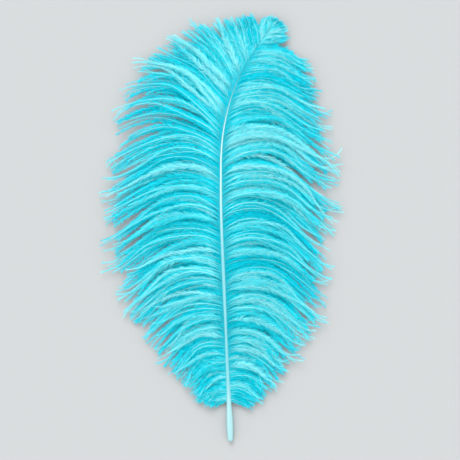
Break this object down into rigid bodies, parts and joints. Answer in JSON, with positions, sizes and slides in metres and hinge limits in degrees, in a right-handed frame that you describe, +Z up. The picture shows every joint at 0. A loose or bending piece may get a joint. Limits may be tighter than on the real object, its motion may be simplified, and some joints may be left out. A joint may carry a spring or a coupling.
{
  "type": "ostrich feather",
  "caption": "Large dyed ostrich plume lying flat, with a bare quill, a bowed tapering shaft that sweeps to one side at the tip, and two full fluffy vanes.",
  "frame": {"origin": "middle of the plume's footprint, on the surface that it rests on", "axes": "+Y from the cut end of the quill towards the tip, +X to the side that the tip sweeps to, +Z up from the surface, on the side that shows the shaft"},
  "size_m": [0.1716, 0.3032, 0.0151],
  "materials": {
    "keratin": "semi-gloss horn, dyed pale turquoise",
    "down": "soft dyed barbs and barbules, silky turquoise"
  },
  "bodies": {
    "root": {"shaft": "keratin", "vane_left": "down", "vane_right": "down"}
  },
  "joints": []
}
